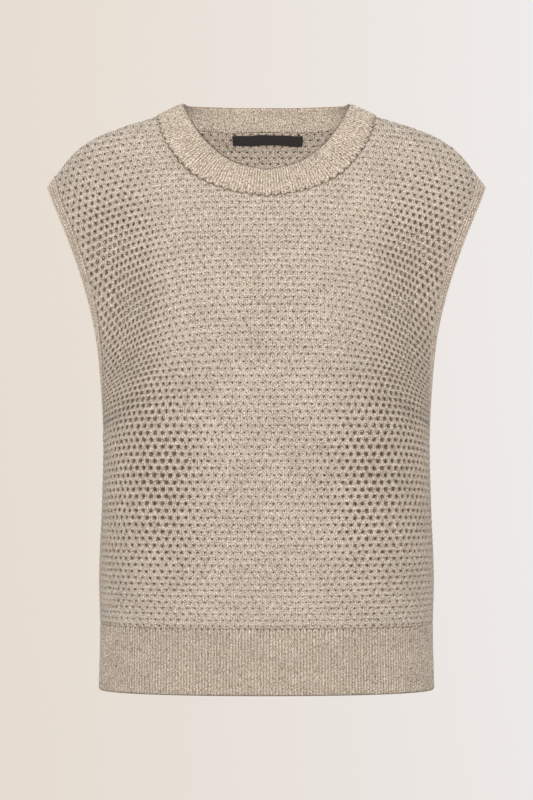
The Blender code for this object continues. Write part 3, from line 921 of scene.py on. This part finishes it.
class TOP_OT_panels(bpy.types.Operator):
    """Knit the front and back panels in openwork"""

    bl_idname = "knit_top.panels"
    bl_label = "Panels"

    def execute(self, context):
        settings = context.scene.knit_top_panels
        yarn = marl_yarn("marl yarn, openwork", 7.2, 6.8, valley=0.2, crest=1.0, loops=2)
        stitch, split = hole_stitch(settings), settings.split_course
        for side, word in SIDES:
            points, outward, share, inset, height = panel_surface(side, settings.stitches)
            courses = (len(height) - 1) // SAMPLES_PER_STITCH
            swell = rounded(np.minimum(inset, height[:, None]), PANEL_EDGE_RADIUS)
            values = np.stack([share, swell, inset], axis=-1)
            surface = surface_object(f"{word}_form", points, outward, values)
            for part, first, count in (("lower", 0, split), ("upper", split, courses - split)):
                piece = knit(
                    f"{word}_knit_{part}", yarn, stitch, surface,
                    Stitches=settings.stitches, First_course=first, Courses=count, Courses_in_all=courses,
                    Stagger=0.5, Join_height=(settings.cord_height + settings.inner_height) * MM,
                    Unevenness=settings.unevenness,
                )
                take_place(piece, f"{word}_panel")
            bpy.data.objects.remove(surface)
        bpy.data.objects.remove(stitch)
        return {"FINISHED"}


class TOP_OT_hem(bpy.types.Operator):
    """Knit the two halves of the ribbed hem"""

    bl_idname = "knit_top.hem"
    bl_label = "Hem rib"

    def execute(self, context):
        rib = context.scene.knit_top_rib
        size = rib.pitch * MM, rib.stitch * MM
        # The hem rib's colour carries painted shade, a tone darker, as its close ribs hide half of their
        # stitches in shade.
        yarn = marl_yarn("marl yarn, hem rib", *size, valley=-0.8, joined=0.4, painted_light_gain=0.82)
        rows = round((RIB_SEAM_Z + rib.lap - HEM_Z) / rib.stitch)
        for side, word in SIDES:
            girth = row_shares(side, rise_at(HEM_MIDDLE_Z))[2][0] * 2
            ribs = round(girth / rib.pitch)
            places = hem_surface(side, ribs, rows, rib.lap, rib.notch)
            name, node, seam = f"hem_{word}_ribbing", f"hem_rib_{word}", f"{word}_panel"
            knit_band(name, node, yarn, ribs, rows, places)
        return {"FINISHED"}


class TOP_OT_neck_band(bpy.types.Operator):
    """Knit the ribbed band round the neck"""

    bl_idname = "knit_top.neck_band"
    bl_label = "Neckband"

    def execute(self, context):
        rib = context.scene.knit_top_rib
        size = rib.pitch * MM, rib.stitch * MM
        # The neck rib's colour carries painted shade, a tone darker, as its close ribs hide half of their
        # stitches in shade.
        yarn = marl_yarn("marl yarn, neck rib", *size, valley=-0.6, joined=0.6, painted_light_gain=0.90)
        seam, edge = neck_ring(NECK_STEPS)
        length = ring_run(seam, edge)[-1]
        ribs, links = round(length / (rib.pitch * NECK_DRAWN_IN)), round(length / rib.link)
        seam, edge = even_ring(seam, edge, ribs * SAMPLES_PER_STITCH * 2 + 1)
        places = band_surface(
            seam, edge, NECK_COURSES * 6, rib.lap, lift=0.0009, crown=0.0012, links=links, notch=rib.notch
        )
        knit_band("neck_ribbing", "neck_band", yarn, ribs, NECK_COURSES, places)
        return {"FINISHED"}


class TOP_OT_arm_bands(bpy.types.Operator):
    """Knit the narrow bands round the armholes"""

    bl_idname = "knit_top.arm_bands"
    bl_label = "Armhole bands"

    def execute(self, context):
        rib = context.scene.knit_top_rib
        # The armhole band's colour carries painted light, a tone lighter, as the band turns away from the
        # lamps.
        yarn = marl_yarn("marl yarn, armhole rib", 7.0, rib.stitch * MM, valley=-0.5, painted_light_gain=1.15)
        for hand, word in ((-1, "left"), (1, "right")):
            seam, edge = arm_ring(hand, ARM_STEPS)
            rows = round(ring_run(seam, edge)[-1] / rib.stitch)
            seam, edge = even_ring(seam, edge, rows * SAMPLES_PER_STITCH + 1)
            points, outward, inset = band_surface(seam, edge, ARM_RIBS * 12, rib.lap, lift=0.0005, crown=0.0)
            # The ribs run along this band, so its rows and columns change places.
            points, outward, inset = points.swapaxes(0, 1), -outward.swapaxes(0, 1), inset.T
            if hand < 0:
                points, outward, inset = points[:, ::-1], -outward[:, ::-1], inset[:, ::-1]
            name, node = f"armhole_{word}_ribbing", f"armhole_band_{word}"
            knit_band(name, node, yarn, ARM_RIBS, rows, (points, outward, inset))
        return {"FINISHED"}


class TOP_OT_label(bpy.types.Operator):
    """Lay the bare woven label inside the back neck"""

    bl_idname = "knit_top.label"
    bl_label = "Neck label"

    def execute(self, context):
        settings = context.scene.knit_top_label
        low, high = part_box("neck_label")
        angle = np.linspace(180, 90, 46)
        x = np.linspace(low[0], high[0], 49)
        seam_z = np.interp(np.abs(x), neck("seam_x", angle), neck("seam_z", angle))
        drops = settings.drop + np.linspace(settings.height, 0.0, 13)
        # The lower edge waves a little, and the tape stands off the knit behind it.
        wave = 0.0004 * np.sin(x / 0.0062) * np.linspace(1, 0, 13)[:, None]
        puff = 0.0019 + 0.0003 * np.sin(x / 0.004)[None, :, None]
        places = [locate(x, seam_z - drop + ripple) for drop, ripple in zip(drops, wave)]
        rows = np.array([form(BACK, *place) - form_outward(BACK, *place) * puff[0] for place in places])
        count = len(x)
        faces = [
            (a, a + 1, a + count + 1, a + count)
            for row in range(len(rows) - 1) for a in range(row * count, (row + 1) * count - 1)
        ]
        mesh = plain_mesh("neck_label_tape", rows, faces)
        mesh.materials.append(woven_tape("woven polyester tape", settings))
        mesh.shade_smooth()
        piece = stand("neck_label_tape", mesh)
        wall = piece.modifiers.new("Wall", "SOLIDIFY")
        wall.thickness, wall.offset = settings.thickness, 0.0
        bevel = piece.modifiers.new("Edges", "BEVEL")
        bevel.width, bevel.segments, bevel.limit_method = settings.thickness * 0.4, 2, "ANGLE"
        take_place(piece, "neck_label")
        return {"FINISHED"}


class TOP_OT_stage(bpy.types.Operator):
    """Set the backdrop, the floor, the lights and the camera"""

    bl_idname = "knit_top.stage"
    bl_label = "Stage"

    def execute(self, context):
        settings, scene = context.scene.knit_top_stage, context.scene
        scene.view_settings.view_transform = "Standard"
        add_sweep(settings)
        for name, place, size, power, colour in (
            ("key", (-2.6, -3.2, 1.3), 2.0, 78, (1.0, 0.985, 0.975)),
            ("fill", (2.8, -3.2, 1.1), 2.0, 74, (1.0, 0.985, 0.98)),
            ("front", (0.0, -4.8, 0.2), 1.2, 155, (1.0, 0.985, 0.98)),
            ("top", (0.0, -0.8, 2.6), 2.0, 20, (1.0, 1.0, 1.0)),
            ("back left", (-3.0, 3.4, 1.2), 2.0, 150, (1.0, 0.985, 0.97)),
            ("back right", (3.0, 3.4, 1.2), 2.0, 150, (1.0, 0.985, 0.97)),
        ):
            add_softbox(name, place, size, power, colour)
        scene.world = bpy.data.worlds.new("studio air")
        scene.world.use_nodes = True
        air = scene.world.node_tree.nodes["Background"].inputs
        air["Color"].default_value = (1.0, 0.97, 0.945, 1.0)
        air["Strength"].default_value = 0.63
        lens = bpy.data.cameras.new("camera")
        lens.lens, lens.sensor_width = settings.lens, 36.0
        scene.camera = stand("camera", lens)
        scene.camera.location = (0.0, -settings.distance, settings.height)
        scene.camera.rotation_euler = (np.pi / 2, 0.0, 0.0)
        return {"FINISHED"}


def add_sweep(settings):
    """A round seamless studio: floor, cove and wall in one sheet, warm at the left, cooler at the right."""
    reach, cove, top, blend, steps = 8.0, 2.0, 5.0, 0.8, 96
    turn = np.linspace(0, np.pi / 2, 17)
    out = np.concatenate([[0.0], reach - cove + cove * np.sin(turn), [reach]])
    up = np.concatenate([[0.0], cove - cove * np.cos(turn), [top]]) + settings.floor
    bearing = np.arange(steps) * 2 * np.pi / steps
    points = [(r * np.cos(a), r * np.sin(a), z) for r, z in zip(out, up) for a in bearing]
    faces = [
        (ring + k, ring + k + steps, ring + (k + 1) % steps + steps, ring + (k + 1) % steps)
        for ring in range(0, steps * (len(out) - 1), steps) for k in range(steps)
    ]
    mesh = plain_mesh("sweep", points, faces)
    mesh.shade_smooth()
    material, tree, shader = new_material("painted sweep")
    x = add(tree, "SeparateXYZ", add(tree, "TexCoord").node.outputs["Object"])
    ramp = add(tree, "ValToRGB", add(tree, "MapRange", x, -blend, blend))
    for stop, code in zip(ramp.node.color_ramp.elements, (settings.warm, settings.cool)):
        stop.color = linear(code)
    # Most of its light is its own, so that it stays even however the top is lit.
    tree.links.new(add(tree, "VectorMath SCALE", ramp, 0.4), shader.inputs["Base Color"])
    tree.links.new(ramp, shader.inputs["Emission Color"])
    shader.inputs["Emission Strength"].default_value = 0.69
    shader.inputs["Roughness"].default_value = 0.9
    mesh.materials.append(material)
    sweep = stand("sweep", mesh)
    # It only shows behind the top, and neither lights it nor shades it.
    sweep.visible_diffuse = sweep.visible_glossy = sweep.visible_transmission = sweep.visible_shadow = False


def add_softbox(name, place, size, power, colour):
    """A square soft light that faces the middle of the top."""
    light = bpy.data.lights.new(name, "AREA")
    light.size, light.energy, light.color = size, power, colour
    lamp = stand(name, light)
    lamp.location = place
    aim = np.array([0.0, 0.0, -0.30]) - place
    yaw, tilt = np.arctan2(aim[0], -aim[1]), np.arctan2(-aim[2], np.hypot(aim[0], aim[1]))
    lamp.rotation_euler = (np.pi / 2 - tilt, 0.0, np.pi - yaw)


class TOP_PT_sidebar(bpy.types.Panel):
    """Lists the pieces of the top and what can be changed on them"""

    bl_idname = "TOP_PT_sidebar"
    bl_label = "Knit top"
    bl_space_type = "VIEW_3D"
    bl_region_type = "UI"
    bl_category = "Knit top"

    def draw(self, context):
        for operator, group in STEPS:
            box = self.layout.box()
            box.operator(operator.bl_idname)
            settings = getattr(context.scene, group)
            for name in settings.__annotations__:
                box.prop(settings, name)


GROUPS = {
    "knit_top_panels": KnitSettings,
    "knit_top_rib": RibSettings,
    "knit_top_yarn": YarnSettings,
    "knit_top_label": LabelSettings,
    "knit_top_stage": StageSettings,
}
STEPS = (
    (TOP_OT_panels, "knit_top_panels"),
    (TOP_OT_hem, "knit_top_rib"),
    (TOP_OT_neck_band, "knit_top_rib"),
    (TOP_OT_arm_bands, "knit_top_rib"),
    (TOP_OT_label, "knit_top_label"),
    (TOP_OT_stage, "knit_top_stage"),
)


def register():
    for group, settings in GROUPS.items():
        bpy.utils.register_class(settings)
        setattr(bpy.types.Scene, group, PointerProperty(type=settings))
    for operator, _ in STEPS:
        bpy.utils.register_class(operator)
    bpy.utils.register_class(TOP_PT_sidebar)


def unregister():
    bpy.utils.unregister_class(TOP_PT_sidebar)
    for operator, _ in reversed(STEPS):
        bpy.utils.unregister_class(operator)
    for group, settings in reversed(GROUPS.items()):
        delattr(bpy.types.Scene, group)
        bpy.utils.unregister_class(settings)


def main():
    register()
    for operator, _ in STEPS:
        family, step = operator.bl_idname.split(".")
        getattr(getattr(bpy.ops, family), step)()


if __name__ == "__main__":
    main()
